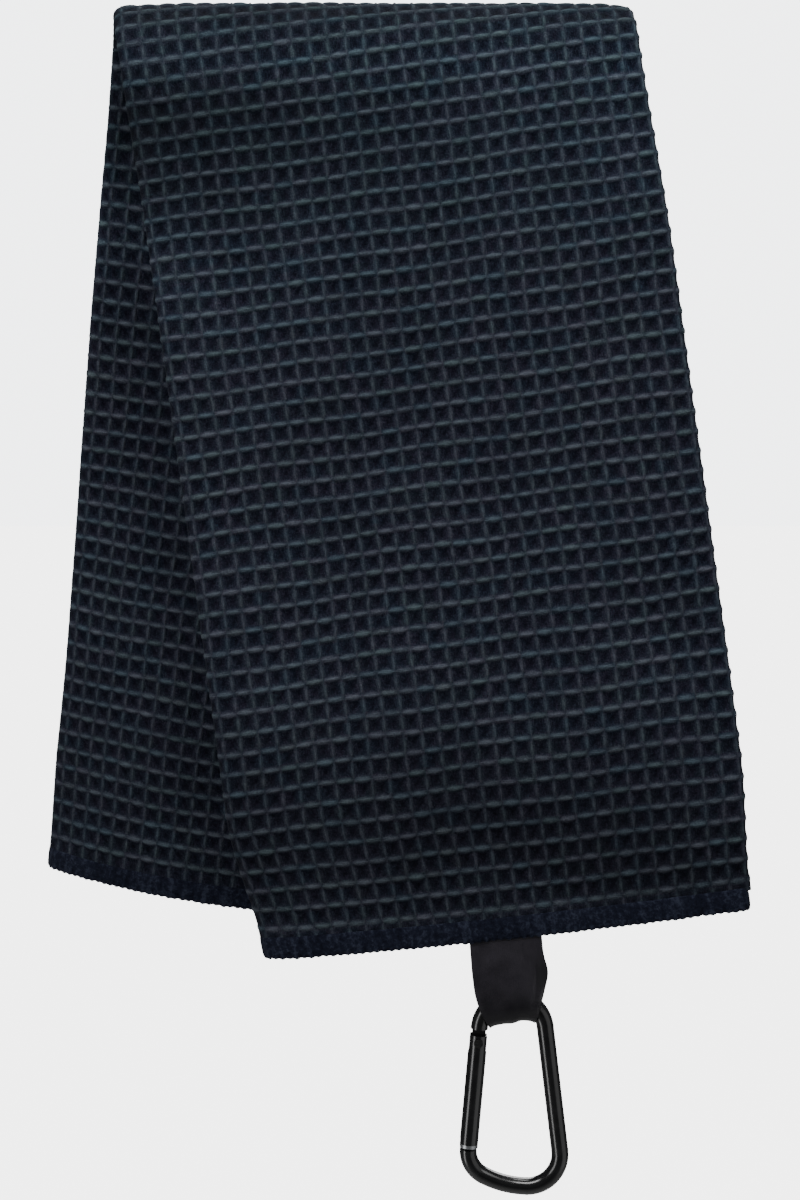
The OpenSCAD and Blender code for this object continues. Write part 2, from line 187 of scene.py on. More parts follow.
# ---------------------------------------------------------------- materials
class Nodes:
    """Short names for building a node tree."""

    def __init__(self, name):
        self.material = bpy.data.materials.new(name)
        self.material.use_nodes = True
        self.tree = self.material.node_tree
        self.shader = self.tree.nodes["Principled BSDF"]

    def node(self, kind, **inputs):
        made = self.tree.nodes.new(kind)
        for key, value in inputs.items():
            name = key.replace("_", " ")
            if name in made.inputs:
                self.feed(made.inputs[name], value)
            else:
                setattr(made, key, value)
        return made

    def feed(self, socket, value):
        if hasattr(value, "is_output"):
            self.tree.links.new(value, socket)
        else:
            socket.default_value = value

    def math(self, operation, a, b):
        made = self.tree.nodes.new("ShaderNodeMath")
        made.operation = operation
        for socket, value in zip(made.inputs, (a, b)):
            self.feed(socket, value)
        return made.outputs[0]

    def attribute(self, name):
        made = self.tree.nodes.new("ShaderNodeAttribute")
        made.attribute_name = name
        return made

    def noise(self, vector, scale, detail=3.0, rough=0.55):
        return self.node("ShaderNodeTexNoise", Vector=vector, Scale=scale, Detail=detail, Roughness=rough)

    def stretch(self, vector, scale):
        made = self.tree.nodes.new("ShaderNodeMapping")
        made.inputs["Scale"].default_value = scale
        self.feed(made.inputs["Vector"], vector)
        return made.outputs[0]

    def place(self):
        return self.tree.nodes.new("ShaderNodeTexCoord").outputs["Object"]

    def ramp(self, factor, stops):
        made = self.tree.nodes.new("ShaderNodeValToRGB")
        ramp = made.color_ramp
        while len(ramp.elements) < len(stops):
            ramp.elements.new(0.5)
        for element, (at, colour) in zip(ramp.elements, stops):
            element.position = at
            element.color = (*colour, 1.0)
        self.feed(made.inputs["Fac"], factor)
        return made.outputs["Color"]

    def mix(self, factor, a, b, blend="MIX"):
        made = self.tree.nodes.new("ShaderNodeMix")
        made.data_type = "RGBA"
        made.blend_type = blend
        self.feed(made.inputs[0], factor)
        for socket, value in ((made.inputs[6], a), (made.inputs[7], b)):
            self.feed(socket, (*value, 1.0) if isinstance(value, tuple) and len(value) == 3 else value)
        return made.outputs[2]

    def bump(self, height, distance, strength):
        made = self.node("ShaderNodeBump", Height=height, Strength=strength, Distance=distance)
        return made.outputs["Normal"]

    def set(self, **values):
        for key, value in values.items():
            self.feed(self.shader.inputs[key.replace("_", " ")], value)


# Linear colours, from dark pit to bright thread: the pits' darkness is partly the fibres' own colour and
# partly painted shade.
PIT = (0.0030, 0.0035, 0.0078)
SLOPE = (0.0096, 0.0122, 0.0208)
RIDGE = (0.0260, 0.0325, 0.0440)
FLOAT = (0.0580, 0.0730, 0.0880)


def waffle_material():
    """Microfibre waffle: pits, ridges and floats coloured from the mesh's own relief, with painted shade in
    the pits, painted light and shade over the cloth, fine thread and fuzz.
    """
    n = Nodes("waffle_cloth")
    cell = n.attribute("cell").outputs["Vector"]
    relief = n.attribute("relief").outputs["Fac"]
    across = n.attribute("across").outputs["Fac"]
    tint_at = n.attribute("tint").outputs["Fac"]
    place = n.place()
    # Threads: the floats are bundles of fine fibres that run along them.
    fibre = n.noise(n.stretch(cell, (2.6, 17.0, 1.0)), 1.0, 2.0).outputs["Fac"]
    fibre_up = n.noise(n.stretch(cell, (17.0, 2.6, 1.0)), 1.0, 2.0).outputs["Fac"]
    mixed_fibre = n.mix(across, fibre_up, fibre)
    fuzz = n.noise(place, 2300.0, 1.0, 0.6)
    mottle = n.noise(place, 1150.0, 2.0, 0.6)
    blotch = n.noise(place, 38.0, 3.0).outputs["Fac"]
    level = n.math("ADD", relief, n.math("MULTIPLY", n.math("SUBTRACT", mixed_fibre, 0.5), 0.55))
    level = n.math("ADD", level, n.math("MULTIPLY", n.math("SUBTRACT", fuzz.outputs["Fac"], 0.5), 0.45))
    # Painted shade: the colour darkens with the relief's depth, down into the pits.
    base = n.ramp(level, [(0.05, PIT), (0.32, SLOPE), (0.64, RIDGE), (1.0, FLOAT)])
    # Each thread leans a little towards teal, purple-grey or green.
    tint = n.ramp(tint_at, [(0.0, (0.78, 1.00, 1.04)), (0.30, (0.98, 1.0, 1.0)),
                            (0.60, (1.14, 0.95, 1.02)), (0.85, (0.88, 1.06, 0.94)),
                            (1.0, (1.04, 0.98, 0.92))])
    colour = n.mix(0.65, base, tint, "MULTIPLY")
    # Loose fibres in the pits catch light of slightly different colours.
    chroma = n.ramp(mottle.outputs["Fac"], [(0.30, (0.50, 0.62, 0.70)), (0.50, (1.0, 0.95, 1.0)),
                                            (0.62, (1.65, 1.25, 1.30)), (0.75, (1.30, 1.75, 1.60))])
    in_pit = n.math("SUBTRACT", 1.0, n.math("MULTIPLY", relief, 1.15))
    colour = n.mix(n.math("MAXIMUM", in_pit, 0.15), colour, n.mix(1.0, colour, chroma, "MULTIPLY"))
    shade = n.ramp(blotch, [(0.30, (0.86, 0.86, 0.88)), (0.70, (1.12, 1.12, 1.10))])
    colour = n.mix(0.8, colour, shade, "MULTIPLY")
    # Painted light and shade over the whole cloth, read from a multiplier at each vertex.
    with_painted_shade = n.mix(1.0, colour, n.attribute("painted_light_and_shade").outputs["Vector"], "MULTIPLY")
    # The painted light and shade is put on the tight floats less than on the loose fibres between them.
    colour = n.mix(n.math("SUBTRACT", 1.15, n.math("MULTIPLY", relief, 0.40)), colour, with_painted_shade)
    n.set(Base_Color=colour, Roughness=0.90, Sheen_Weight=0.02, Sheen_Roughness=0.45,
          Sheen_Tint=(0.55, 0.66, 0.78, 1.0), Specular_IOR_Level=0.08)
    height = n.math("ADD", n.math("MULTIPLY", mixed_fibre, 0.8),
                    n.math("MULTIPLY", fuzz.outputs["Fac"], 0.5))
    n.set(Normal=n.bump(height, 0.0006, 0.8))
    return n.material


def hem_material():
    """Overlocked edge: dense dark thread with a soft plush."""
    n = Nodes("hem_thread")
    place = n.place()
    stitch = n.attribute("stitch").outputs["Fac"]
    fuzz = n.noise(place, 1900.0, 2.0, 0.7).outputs["Fac"]
    tuft = n.noise(place, 700.0, 3.0, 0.65).outputs["Fac"]
    level = n.math("ADD", n.math("MULTIPLY", stitch, 0.30), n.math("MULTIPLY", tuft, 0.45))
    level = n.math("ADD", level, n.math("MULTIPLY", fuzz, 0.25))
    colour = n.ramp(level, [(0.38, (0.0016, 0.0020, 0.0056)), (0.50, (0.0050, 0.0063, 0.0135)),
                            (0.61, (0.0175, 0.0210, 0.0350))])
    n.set(Base_Color=colour, Roughness=0.92, Sheen_Weight=0.03, Sheen_Roughness=0.5,
          Sheen_Tint=(0.5, 0.55, 0.7, 1.0), Specular_IOR_Level=0.08)
    height = n.math("ADD", n.math("MULTIPLY", fuzz, 0.5), n.math("MULTIPLY", tuft, 0.8))
    n.set(Normal=n.bump(height, 0.0005, 0.8))
    return n.material


def satin_material():
    """Black satin ribbon: fine lengthways grain, a soft broken highlight from patchy roughness and painted
    sheen in the colour, and painted shade at its folds.
    """
    n = Nodes("satin_ribbon")
    grain_at = n.attribute("cell").outputs["Vector"]
    warp = n.noise(n.stretch(grain_at, (190.0, 5.0, 1.0)), 1.0, 2.0).outputs["Fac"]
    weft = n.noise(n.stretch(grain_at, (16.0, 90.0, 1.0)), 1.0, 2.0).outputs["Fac"]
    broad = n.noise(n.place(), 130.0, 2.0).outputs["Fac"]
    level = n.math("ADD", n.math("MULTIPLY", warp, 0.6), n.math("MULTIPLY", weft, 0.4))
    colour = n.ramp(level, [(0.25, (0.0064, 0.0057, 0.0082)), (0.75, (0.0136, 0.0122, 0.0165))])
    rough = n.ramp(broad, [(0.3, (0.38,) * 3), (0.7, (0.56,) * 3)])
    # Painted sheen: broad lighter and darker patches in the colour.
    painted_sheen = n.ramp(broad, [(0.35, (0.66, 0.64, 0.66)), (0.65, (1.42, 1.40, 1.38))])
    colour = n.mix(1.0, colour, painted_sheen, "MULTIPLY")
    # Painted shade where the ribbon bends under the rod and in its turned-back crease.
    colour = n.mix(n.attribute("painted_fold_shade").outputs["Fac"], colour, (0.0026, 0.0024, 0.0036))
    n.set(Base_Color=colour, Roughness=rough, Sheen_Weight=0.02, Sheen_Roughness=0.35,
          Anisotropic=0.5, Specular_IOR_Level=0.22)
    n.set(Normal=n.bump(level, 0.00012, 0.5))
    return n.material


GATE_LEAN = math.radians(5.0)
GATE_AXIS = (math.sin(GATE_LEAN), 0.0, math.cos(GATE_LEAN))


def black_metal_material(name, bare_below=None):
    """Gloss black enamel with a faint orange peel and small scuffs, bare below a place along the gate."""
    n = Nodes(name)
    place = n.place()
    peel = n.noise(place, 420.0, 2.0).outputs["Fac"]
    scuff = n.noise(n.stretch(place, (1.0, 1.0, 2.0)), 170.0, 3.0, 0.6).outputs["Fac"]
    rough = n.ramp(scuff, [(0.45, (0.20,) * 3), (0.72, (0.26,) * 3)])
    colour = n.ramp(scuff, [(0.40, (0.0018, 0.0018, 0.0022)), (0.80, (0.0050, 0.0050, 0.0056))])
    metal = 0.0
    if bare_below is not None:
        along = n.node("ShaderNodeVectorMath", operation="DOT_PRODUCT")
        n.feed(along.inputs[0], place)
        along.inputs[1].default_value = GATE_AXIS
        metal = n.math("LESS_THAN", along.outputs["Value"], bare_below)
        colour = n.mix(metal, colour, (0.30, 0.31, 0.32))
        rough = n.mix(metal, rough, (0.38, 0.38, 0.38))
    n.set(Base_Color=colour, Roughness=rough, Metallic=metal, Specular_IOR_Level=0.6)
    n.set(Normal=n.bump(peel, 0.00006, 0.12))
    return n.material


def steel_material(name, low, high, rough_low, rough_high):
    n = Nodes(name)
    place = n.place()
    brush = n.noise(n.stretch(place, (1.0, 1.0, 9.0)), 900.0, 4.0).outputs["Fac"]
    colour = n.ramp(brush, [(0.3, (low,) * 3), (0.7, (high,) * 3)])
    rough = n.ramp(brush, [(0.3, (rough_low,) * 3), (0.7, (rough_high,) * 3)])
    n.set(Base_Color=colour, Metallic=1.0, Roughness=rough)
    n.set(Normal=n.bump(brush, 0.00004, 0.3))
    return n.material


WAFFLE = waffle_material()
HEM = hem_material()
SATIN = satin_material()
ENAMEL = black_metal_material("gloss_black_enamel")
GATE_FOOT = min(v.co.dot(Vector(GATE_AXIS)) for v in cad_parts["gate"].data.vertices)
BARE_BAND = 0.9
GATE_ENAMEL = black_metal_material("gate_enamel", GATE_FOOT + BARE_BAND * MM)
STEEL = steel_material("satin_steel", 0.36, 0.50, 0.26, 0.42)
DARK_STEEL = steel_material("dark_steel", 0.05, 0.11, 0.20, 0.34)

# ---------------------------------------------------------------- waffle relief
COLUMNS, ROWS_TOTAL = 85, 96.5
CELL_W = TOWEL_W / COLUMNS
CELL_H = TOWEL_L / ROWS_TOTAL
RELIEF = 1.50
FLOAT_HALF = 0.172
UP_HALF = 0.130
CROWN_PUFF, FOLD_PUFF, SHOULDER_PUFF = 1.3, 1.5, 1.2
# How far down the crown and the left shoulder reach, and how far out the shoulder and the full fold begin.
CROWN_ZONE, SHOULDER_ZONE = 13.0, 55.0
SHOULDER_FROM, FULL_FROM = 35.0, 25.0
# How sharply the crown's puff ends at the left and right folds.
CROWN_END_LEFT, CROWN_END_RIGHT = 4, 14
# The outer layer's way round the rail is longer than the middle layer's by about one cell on each side.
EXTRA_CELLS = 1.0


def cell_random(i, j, seed):
    """An even random number from 0 to 1 for each lattice cell."""
    mixed = np.sin(i * 12.9898 + j * 78.233 + seed * 37.719) * 43758.5453
    return mixed - np.floor(mixed)


def weave(u, v):
    """Height, kind of thread and tint at a place in the lattice, in cells. Whole numbers of u are the
    upright ridges, and whole numbers of v are the rows of floats, pinched where they cross the ridges."""
    float_id = (np.floor(u), np.floor(v + 0.5))
    upright_id = (np.floor(u + 0.5), np.floor(v))
    fu = u - upright_id[0]
    fv = v - float_id[1]
    t = v - upright_id[1]
    au, av = np.abs(fu), np.abs(fv)
    # Pyramid-shaped pit between the threads.
    pit = np.clip(np.maximum(1 - au / 0.5, 1 - av / 0.5), 0, 1)
    base = 0.56 * pit ** 1.15
    # Float: a boat between two crossings, widest half way along, and never quite like the next one.
    plump = 1 + 0.26 * (cell_random(*float_id, 3.0) - 0.5)
    half = FLOAT_HALF * plump * (0.40 + 0.60 * np.sin(np.pi * au) ** 0.7)
    fv_float = fv + 0.05 * (cell_random(*float_id, 1.0) - 0.5)
    full = 0.92 + 0.16 * (cell_random(*float_id, 4.0) - 0.5)
    arch = 0.60 + 0.40 * np.sin(np.pi * au) ** 0.55
    boat = full * arch * np.clip(1 - (fv_float / half) ** 2, 0, 1) ** 0.4
    # Upright ridge between two rows, lower, and spindle-shaped with its widest part low down.
    swell = np.sin(np.pi * t ** 1.2)
    up_half = UP_HALF * (1 + 0.3 * (cell_random(*upright_id, 7.0) - 0.5)) * (0.25 + 0.75 * swell)
    fu_up = fu + 0.06 * (cell_random(*upright_id, 2.0) - 0.5)
    up_rise = 0.42 + 0.36 * swell ** 0.7 + 0.10 * (cell_random(*upright_id, 8.0) - 0.5)
    upright = up_rise * np.clip(1 - (fu_up / up_half) ** 2, 0, 1) ** 0.45
    height = np.maximum(np.maximum(base, boat), upright)
    on_float = boat >= np.maximum(upright, base * 0.9)
    tint = np.where(av < 0.25, cell_random(*float_id, 5.0), cell_random(*upright_id, 6.0))
    return height, np.where(on_float, 1.0, 0.0), tint


def painted_light_and_shade(side, p, b):
    """Painted light and shade as a colour multiplier: darker on the crown and lighter just below it, darker
    then lighter down the left, lighter at the right, darker towards the foot; and a greener tint over the
    fold.
    """
    across = p / HALF_W
    drop = b - ridge(side, p)
    light = 1 - 0.38 * np.exp(-((drop - 6) / 5) ** 2) + 0.38 * np.exp(-((drop - 18) / 8) ** 2)
    left, right = np.minimum(across, 0), np.maximum(across, 0)
    light = light + 0.50 * left * np.exp(-((b - 28) / 19) ** 2)
    light = light + 0.36 * right * np.exp(-((b - 45) / 32) ** 2)
    light = light - 0.34 * left * np.exp(-((b - 70) / 14) ** 2)
    if side == FRONT:
        foot = b - 0.35 * np.maximum(p, 0)
        light = light - (0.47 + 0.07 * across) * smooth((foot - 172) / 52) + 0.12 * smooth((foot - 222) / 12)
    else:
        light = light - 0.18 * smooth((b - 190) / 30)
    faded = 1 - smooth((b - 20) / 95)
    red, green, blue = 1 - 0.09 * faded, 1 + 0.03 * faded, 1 + 0.01 * faded
    return np.stack([light * red, light * green, light * blue], axis=-1)


def dress_in_waffle(obj, relief, kind, tint, painted_shading, cell_u, cell_v):
    """The cloth's material and the attributes that it reads."""
    point_attribute(obj, "relief", relief)
    point_attribute(obj, "across", kind)
    point_attribute(obj, "tint", tint)
    # The painted light and shade multiplier, which the material reads.
    point_vector(obj, "painted_light_and_shade", painted_shading)
    point_vector(obj, "cell", np.stack([cell_u + 0 * cell_v, cell_v, 0 * cell_v], axis=-1))
    set_material(obj, WAFFLE)


def lattice_stops(first, last, offsets):
    """Sample places along one direction, in cells: a few around each thread and one in each pit."""
    places = []
    for whole in range(int(math.floor(first)) - 1, int(math.ceil(last)) + 2):
        places += [whole + o for o in offsets]
    kept = [x for x in places if first + 0.02 < x < last - 0.02]
    return np.array([first] + kept + [last])


# ---------------------------------------------------------------- the folded strip's cross-section
# The cloth is one sheet. Its outward face is followed across the towel, from the right flap's free edge,
# round the right fold, over the middle panel, round the left fold and over the left flap.
LAYER = CLOTH_T + LAYER_GAP
LEFT_R, RIGHT_R, MIDDLE_R = RAIL_R, RAIL_R + LAYER, RAIL_R + 2 * LAYER
SIDE_HEM = 4.0
EDGE_GAP = 2.5
RIGHT_EDGE = -HALF_W + LAYER + EDGE_GAP + SIDE_HEM
LEFT_EDGE = HALF_W - EDGE_GAP - SIDE_HEM


def fold_path():
    """Pieces of the outward face, each a length and a function of the share along it that gives p, d and
    the outward normal."""
    right_turn = (OUTER_R - RIGHT_R) / 2
    left_turn = (OUTER_R - LEFT_R) / 2
    right_mid = (OUTER_R + RIGHT_R) / 2
    left_mid = (OUTER_R + LEFT_R) / 2

    def line(p0, p1, d, outward):
        return abs(p1 - p0), lambda t: (p0 + (p1 - p0) * t, d + 0 * t, 0 * t, outward + 0 * t)

    def right_arc(t):
        a = math.pi * (t - 0.5)
        return (HALF_W - right_turn + right_turn * np.cos(a), right_mid + right_turn * np.sin(a),
                np.cos(a), np.sin(a))

    def left_arc(t):
        a = math.pi * (t - 0.5)
        return (-HALF_W + left_turn - left_turn * np.cos(a), left_mid - left_turn * np.sin(a),
                -np.cos(a), -np.sin(a))

    return [
        line(RIGHT_EDGE, HALF_W - right_turn, RIGHT_R, -1.0),
        (math.pi * right_turn, right_arc),
        line(HALF_W - right_turn, -HALF_W + left_turn, OUTER_R, 1.0),
        (math.pi * left_turn, left_arc),
        line(-HALF_W + left_turn, LEFT_EDGE, LEFT_R, -1.0),
    ]


PATH = fold_path()
PATH_ENDS = np.cumsum([0.0] + [length for length, _ in PATH])


def on_path(w):
    """p, d and the outward normal in (p, d) at lengths w along the outward face."""
    w = np.asarray(w, float)
    out = np.zeros((4,) + w.shape)
    for k, (length, place) in enumerate(PATH):
        last = k == len(PATH) - 1
        inside = (w >= PATH_ENDS[k] - 1e-9) & ((w < PATH_ENDS[k + 1]) | last)
        t = np.clip((w - PATH_ENDS[k]) / length, 0, 1)
        values = place(t)
        for i in range(4):
            out[i] = np.where(inside, values[i], out[i])
    return out


ACROSS_FINE = (-0.5, -0.28, -0.16, -0.08, 0.0, 0.08, 0.16, 0.28)
DOWN_FINE = (-0.5, -0.25, -0.155, -0.08, 0.0, 0.08, 0.155, 0.25)
ACROSS_COARSE = (-0.5, 0.0)
FAN_STEP, FAN_STEP_QUICK = 0.4, 2.0


def cloth_half(side):
    """One half of the towel's outward face, from the ridge of the fold to the end hem."""
    # Whole cells from the middle of the strip, so that the lattice is the same on both leaves.
    middle = (PATH_ENDS[2] + PATH_ENDS[3]) / 2
    u_first, u_last = -middle / CELL_W, (PATH_ENDS[-1] - middle) / CELL_W
    hidden_to = (PATH_ENDS[1] - middle) / CELL_W - 1.2
    fine = lattice_stops(hidden_to, u_last, ACROSS_FINE)
    coarse = lattice_stops(u_first, hidden_to, ACROSS_COARSE)[:-1]
    u = np.concatenate([coarse, fine])
    w = u * CELL_W + middle
    p, d, n_p, n_d = on_path(w)
    length = LENGTH[side] - END_HEM_H + 0.8
    # The first line of points lies on the ridge of the fold, and the next ones fan out from it.
    v = lattice_stops(0.0, length / CELL_H, DOWN_FINE)
    fan = np.arange(0.0, RIDGE_ZONE, FAN_STEP)
    down = np.concatenate([fan, v[v * CELL_H > RIDGE_ZONE + 0.1] * CELL_H])[:, None]
    b = below_ridge(down, ridge(side, p)[None, :])
    # The lattice carries on over the ridge, and is counted in true distance down the outer layer.
    turned = (b * math.cos(SKEW) - side * p[None, :] * math.sin(SKEW)) / ARC[side]
    cell_v = side * (b / CELL_H + EXTRA_CELLS * np.clip(turned, 0, 1))
    cell_u = u[None, :]
    height, kind, tint = weave(cell_u + 0 * b, cell_v)
    soft = 1 - 0.35 * np.exp(-((b - 6.0) / 9.0) ** 2)
    wander = 1 + 0.06 * np.sin(cell_u * 0.9 + cell_v * 0.37) + 0.05 * np.sin(cell_u * 0.31 - cell_v * 0.83)
    # Cloth that is pulled round the folds is flatter.
    tight = 1 - 0.74 * np.abs(n_p[None, :])
    gathered = 0.72 * smooth((down - length + 4.5) / 3.0)
    lift = (np.maximum(height * soft, gathered) - 1.0) * RELIEF * wander * tight
    # Handled cloth: the rows and columns wander a little.
    calm = smooth(down / 60.0) * smooth((length - down) / 25.0)
    slow_row, quick_row = cell_u * 0.19 + cell_v * 0.11, cell_u * 0.67 - cell_v * 0.37 + 1.0
    slow_column, quick_column = cell_v * 0.25 + cell_u * 0.07, cell_v * 0.83 + 2.0
    b = b + calm * (0.30 * np.sin(slow_row) + 0.20 * np.sin(quick_row))
    stray = calm * (0.28 * np.sin(slow_column) + 0.16 * np.sin(quick_column))
    # The left fold rolls away loosely near the front leaf's foot.
    pp = p[None, :] + n_p[None, :] * lift + stray * np.abs(n_d)[None, :]
    dd = d[None, :] + n_d[None, :] * lift
    if side == FRONT:
        dd = dd - rolled_in(b) * rolled_edge(pp)
    # Loose cloth: the crown of the fold stands up a little, and the right fold is fuller than a hard crease.
    edge = np.clip(np.abs(pp) / HALF_W, 0, 1) ** np.where(pp > 0, CROWN_END_RIGHT, CROWN_END_LEFT)
    crown = np.exp(-((b - ridge(side, pp)) / CROWN_ZONE) ** 2) * (1 - edge)
    dd = dd + CROWN_PUFF * crown * np.clip(n_d, 0, 1)[None, :]
    shoulder = 1 - smooth(down / SHOULDER_ZONE)
    pp = pp - SHOULDER_PUFF * shoulder * np.clip((-pp - SHOULDER_FROM) / (HALF_W - SHOULDER_FROM), 0, 1)
    if side == FRONT:
        fuller = smooth((b - 20.0) / 60.0) * (1 - 0.35 * smooth((b - LENGTH[side] + 45.0) / 40.0))
        pp = pp + FOLD_PUFF * fuller * np.clip((pp - FULL_FROM) / (HALF_W - FULL_FROM), 0, 1)
    points = drape(side, pp, b, dd)
    obj = grid_mesh(SIDE_NAME[side] + "_cloth", points, flip=(side == BACK))
    dress_in_waffle(obj, height, kind, tint, painted_light_and_shade(side, pp, b), cell_u, cell_v)
    return obj


front_cloth = cloth_half(FRONT)
back_cloth = cloth_half(BACK)


# ---------------------------------------------------------------- hems
STITCH_PITCH = 2.05


def end_hem(side):
    """The overlocked band along a short end, wrapped over both faces of the folded sheet."""
    w = np.arange(0.0, PATH_ENDS[-1] + 0.01, 0.5)
    p, d, n_p, n_d = on_path(w)
    steps = 22
    rng = np.random.default_rng(7 if side == FRONT else 8)
    phase = 2 * np.pi * w / STITCH_PITCH
    knots = np.arange(0, w[-1] + 4, 2.0)
    jitter = np.interp(w, knots, rng.normal(0, 1, len(knots)))
    half = CLOTH_T / 2
    points = np.zeros((len(w), steps, 3))
    stitch = np.zeros((len(w), steps))
    for i in range(steps):
        a = 2 * math.pi * i / steps
        # A rounded flat loop about the middle of the sheet's thickness.
        out = math.copysign(abs(math.cos(a)) ** 0.55, math.cos(a)) * (half + 0.18)
        along = math.sin(a)
        down = math.copysign(abs(along) ** 0.62, along) * END_HEM_H / 2
        edge = max(along, 0.0) ** 2
        bump = 0.5 + 0.5 * np.cos(phase + 1.2 * along)
        stitch[:, i] = 0.5 + (bump - 0.5) * (0.12 + 0.5 * edge) + 0.10 * jitter
        offset = out * (1 + 0.03 * bump) + 0.07 * jitter * (1 - edge) - half
        b = LENGTH[side] - END_HEM_H / 2 - 0.1 + down + edge * (0.34 * (bump - 0.5) + 0.09 * jitter)
        pp = p + n_p * offset
        dd = d + n_d * offset
        if side == FRONT:
            dd = dd - rolled_edge(pp)
        points[:, i] = drape(side, pp, b, dd)
    obj = grid_mesh(SIDE_NAME[side] + "_end_hem_band", points, flip=(side == FRONT), closed_u=True)
    point_attribute(obj, "stitch", stitch)
    set_material(obj, HEM)
    return obj


def side_hem(side, which):
    """The overlocked long edge of a flap, hidden between the layers but seen at the ends and from below."""
    step = 0.9
    length = LENGTH[side] - 3.0
    count = int(length / step)
    if which == "right":
        p_mid, d_mid = RIGHT_EDGE - SIDE_HEM / 2 + 0.3, RIGHT_R + CLOTH_T / 2
    else:
        p_mid, d_mid = LEFT_EDGE + SIDE_HEM / 2 - 0.3, LEFT_R + CLOTH_T / 2
    down = np.linspace(0.0, length, count)
    b = below_ridge(down, float(ridge(side, p_mid)))
    steps = 14
    phase = 2 * np.pi * down / STITCH_PITCH
    points = np.zeros((count, steps, 3))
    stitch = np.zeros((count, steps))
    outward = -1.0 if which == "right" else 1.0
    for i in range(steps):
        a = 2 * math.pi * i / steps
        bump = 0.5 + 0.5 * np.cos(phase + 1.2 * math.cos(a))
        edge = max(math.cos(a), 0.0) ** 2
        reach = math.copysign(abs(math.cos(a)) ** 0.7, math.cos(a)) * (SIDE_HEM / 2 + 0.3)
        dp = outward * (reach + edge * 0.35 * (bump - 0.5))
        dd = math.copysign(abs(math.sin(a)) ** 0.6, math.sin(a)) * (CLOTH_T / 2 - 0.08) * (0.9 + 0.1 * bump)
        points[:, i] = drape(side, p_mid + dp, b, d_mid + dd)
        stitch[:, i] = bump * (0.5 + 0.5 * edge)
    name = SIDE_NAME[side] + "_" + which + "_side_hem"
    obj = grid_mesh(name, points, flip=((side == FRONT) == (which == "left")), closed_u=True)
    point_attribute(obj, "stitch", stitch)
    set_material(obj, HEM)
    return obj


def inner_faces(side):
    """The cloth's inward face, which shows only at the ends and between loose layers."""
    w = np.arange(0.0, PATH_ENDS[-1] + 0.01, 2.3)
    p, d, n_p, n_d = on_path(w)
    length = LENGTH[side] - 4.0
    down = np.arange(0.0, length, 2.6)
    b = below_ridge(down[:, None], ridge(side, p)[None, :])
    thick = CLOTH_T - 0.15
    pp = p[None, :] - n_p[None, :] * thick + 0 * b
    dd = d[None, :] - n_d[None, :] * thick + 0 * b
    if side == FRONT:
        dd = dd - rolled_in(b) * rolled_edge(pp)
    points = drape(side, pp, b, dd)
    obj = grid_mesh(SIDE_NAME[side] + "_cloth_reverse", points, flip=(side == FRONT))
    cell_u, cell_v = w[None, :] / CELL_W, b / CELL_H
    height, kind, tint = weave(cell_u + 0 * b, cell_v)
    dress_in_waffle(obj, 0.35 + 0.4 * height, kind, tint, painted_light_and_shade(side, pp, b), cell_u, cell_v)
    return obj


front_band, back_band = end_hem(FRONT), end_hem(BACK)
side_hems = {(s, k): side_hem(s, k) for s in (FRONT, BACK) for k in ("right", "left")}
reverses = {FRONT: inner_faces(FRONT), BACK: inner_faces(BACK)}


def bend_over_rail(obj):
    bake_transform(obj)


for side, cloth in ((FRONT, front_cloth), (BACK, back_cloth)):
    bend_over_rail(cloth)
    bend_over_rail(reverses[side])
    for which in ("right", "left"):
        bend_over_rail(side_hems[(side, which)])
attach(front_band, "front_leaf")
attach(back_band, "back_leaf")

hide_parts("fold_middle_panel", "fold_right_flap", "fold_left_flap",
            "front_middle_panel", "front_right_flap", "front_left_flap")
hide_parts("back_middle_panel", "back_right_flap", "back_left_flap")
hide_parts("front_right_flap_hem", "fold_right_flap_hem")
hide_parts("front_left_flap_hem", "fold_left_flap_hem")
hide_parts("back_right_flap_hem")
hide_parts("back_left_flap_hem")
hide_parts("front_end_hem")
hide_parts("back_end_hem")

# ---------------------------------------------------------------- ribbon
RIBBON_W = 19.0
ROOT = drape(FRONT, np.array(0.0), np.array(LENGTH[FRONT]), np.array(MIDDLE_R - 0.05)) / MM
LOOP_DROP = 17.2
LOOP = ROOT + LOOP_DROP * np.array([math.sin(SKEW), 0.0, -math.cos(SKEW)])
LOOP_R = 4.0
RIBBON_RISE = 22.5
RIBBON_T = 0.55


def ribbon_line(t):
    """The ribbon's middle line in (y, z) from the loop's centre: down one leg and up the other."""
    r = LOOP_R + RIBBON_T / 2
    lean = math.asin(r / RIBBON_RISE)
    leg = math.sqrt(RIBBON_RISE ** 2 - r * r)
    arc = r * (math.pi + 2 * lean)
    s = np.asarray(t, float) * (2 * leg + arc)
    root = np.array([0.0, RIBBON_RISE])
    tangent = np.array([-r * math.cos(lean), r * math.sin(lean)])
    k = np.clip(s / leg, 0, 1)[..., None]
    down = k * tangent + (1 - k) * root
    a = math.pi - lean + np.clip((s - leg) / r, 0, arc / r)
    turn = np.stack([r * np.cos(a), r * np.sin(a)], axis=-1)
    k2 = np.clip((s - leg - arc) / leg, 0, 1)[..., None]
    up = (1 - k2) * tangent * np.array([-1, 1]) + k2 * root
    return np.where((s < leg)[..., None], down, np.where((s < leg + arc)[..., None], turn, up))


